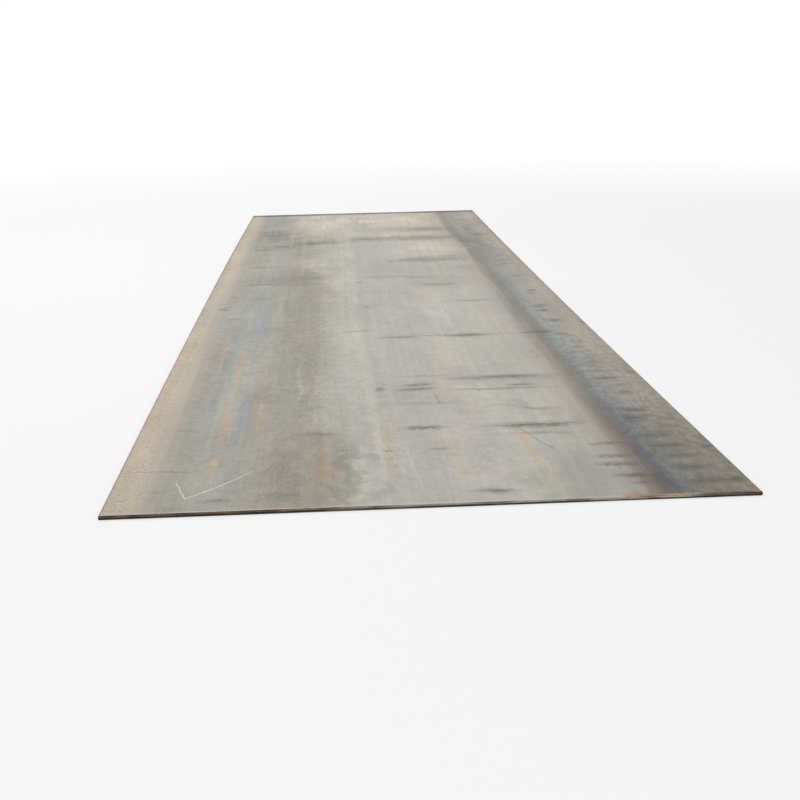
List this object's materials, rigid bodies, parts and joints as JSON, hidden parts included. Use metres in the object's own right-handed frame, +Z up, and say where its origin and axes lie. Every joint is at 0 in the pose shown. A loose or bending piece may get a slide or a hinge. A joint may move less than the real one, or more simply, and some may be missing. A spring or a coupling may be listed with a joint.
{
  "type": "steel plate",
  "caption": "Flat hot-rolled steel plate with rounded rolled long edges, a slight sideways bow and sheared ends, lying flat as raw stock for cutting, welding or stacking.",
  "frame": {"origin": "middle of the face that the plate lies on", "axes": "+Y along the length, which is the rolling direction; +X across the width; +Z up, out of the face that shows"},
  "size_m": [1.512, 6, 0.01],
  "materials": {
    "mill_scale_steel": "matt grey mill scale, with tan dusty margins, dark and blue oxide bands along the length, dark scuffs across it and rust on the cut end"
  },
  "bodies": {
    "root": {"steel_plate": "mill_scale_steel"}
  },
  "joints": []
}
